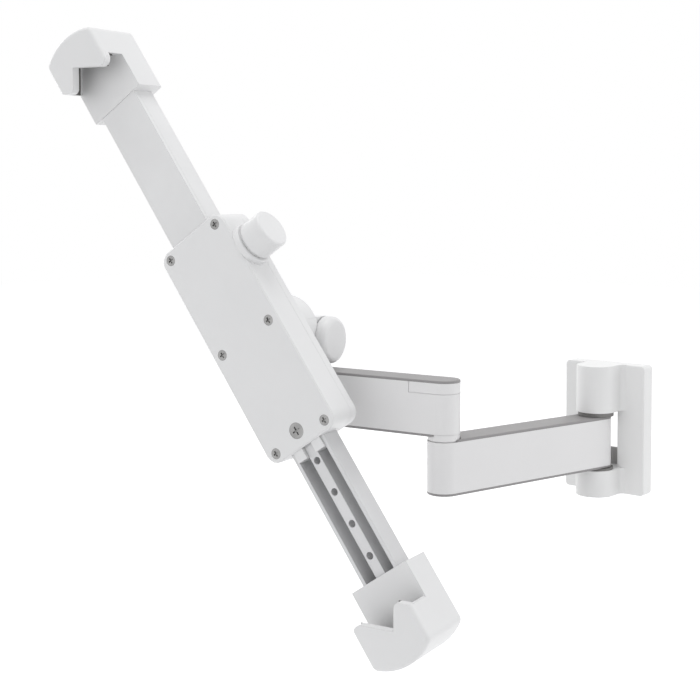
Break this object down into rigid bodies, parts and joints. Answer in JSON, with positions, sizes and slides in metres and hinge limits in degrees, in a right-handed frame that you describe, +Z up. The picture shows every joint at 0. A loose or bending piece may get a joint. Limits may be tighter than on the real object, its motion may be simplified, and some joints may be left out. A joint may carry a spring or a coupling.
{
  "type": "full-motion tablet wall mount",
  "caption": "Full-motion wall mount for a tablet: hinged wall bracket, folding two-part arm, tilting and turning head, and a diagonal extending bar with corner cradles.",
  "frame": {"origin": "centre of the wall plate's back face, on the wall", "axes": "+X along the wall to the right as seen from the room, +Y into the wall, +Z up"},
  "size_m": [0.2716, 0.2346, 0.3365],
  "materials": {
    "bracket_white": "satin",
    "arm_white": "satin",
    "cover_grey": "satin",
    "holder_white": "satin",
    "bar_white": "satin",
    "rail_grey": "satin",
    "steel": "brushed",
    "plate_steel": "satin",
    "dark_washer": "matte",
    "bush_grey": "matte",
    "rubber_dark": "matte"
  },
  "bodies": {
    "wall": {"wall_plate": "plate_steel", "wall_bracket": "bracket_white", "bracket_set_screws": "steel", "wall_hinge_pin": "steel", "wall_washer_upper": "dark_washer", "wall_washer_lower": "dark_washer"},
    "lower_arm": {"lower_arm": "arm_white", "lower_arm_top_cover": "cover_grey", "lower_arm_bottom_cover": "cover_grey", "wall_bushes": "bush_grey", "elbow_ring": "arm_white", "elbow_pin": "steel", "elbow_washer": "steel", "elbow_nut": "steel"},
    "upper_arm": {"upper_arm": "arm_white", "elbow_collar": "arm_white", "upper_arm_top_cover": "cover_grey", "upper_arm_bottom_cover": "cover_grey"},
    "head": {"swivel_post": "holder_white", "post_washer": "dark_washer", "swivel_bolt": "steel", "swivel_washer": "steel"},
    "tilt_bracket": {"tilt_bracket": "holder_white", "tilt_bolt": "steel", "tilt_nut": "steel", "tilt_caps": "holder_white", "spin_washer": "dark_washer"},
    "holder": {"housing_shell": "holder_white", "housing_back": "holder_white", "cover_screws": "steel", "rail_screw": "steel", "turntable_disc": "steel", "turntable_bolt": "steel", "turntable_nut": "steel", "knob_base": "holder_white", "clamp_pad": "rubber_dark", "lower_rail": "rail_grey", "rail_guide": "holder_white", "lower_cradle": "holder_white", "lower_lining": "rubber_dark", "lower_cradle_screws": "steel"},
    "knob": {"lock_knob": "holder_white", "knob_stem": "steel"},
    "upper_slide": {"bar_front_strip": "bar_white", "upper_bar": "bar_white", "upper_cradle": "holder_white", "upper_lining": "rubber_dark", "upper_cradle_screws": "steel"}
  },
  "joints": [
    {"name": "wall_swivel", "type": "hinge", "parent": "wall", "child": "lower_arm", "pos_m": [0, -0.02, 0], "axis": [0, 0, 1], "range_deg": [-76.4, 103.6]},
    {"name": "elbow_swivel", "type": "hinge", "parent": "lower_arm", "child": "upper_arm", "pos_m": [-0.02816, -0.13665, 0], "axis": [0, 0, 1], "range_deg": [-110.4, 173]},
    {"name": "head_swivel", "type": "hinge", "parent": "upper_arm", "child": "head", "pos_m": [-0.12447, -0.14814, 0], "axis": [0, 0, 1], "range_deg": [-184.8, 0.6]},
    {"name": "tilt", "type": "hinge", "parent": "head", "child": "tilt_bracket", "pos_m": [-0.12447, -0.14814, 0.0574], "axis": [0.988, 0.1547, 0], "range_deg": [-15, 15]},
    {"name": "rotation", "type": "hinge", "parent": "tilt_bracket", "child": "holder", "pos_m": [-0.1203, -0.17481, 0.0622], "axis": [0.1547, -0.988, 0], "continuous": true},
    {"name": "bar_slide", "type": "slide", "parent": "holder", "child": "upper_slide", "axis": [0.561, 0.0879, -0.8231], "range_m": [-0.01, 0.06]},
    {"name": "lock_turn", "type": "hinge", "parent": "holder", "child": "knob", "pos_m": [-0.11789, -0.18911, 0.11479], "axis": [0.8132, 0.1273, 0.5678], "range_deg": [-360, 360]}
  ]
}
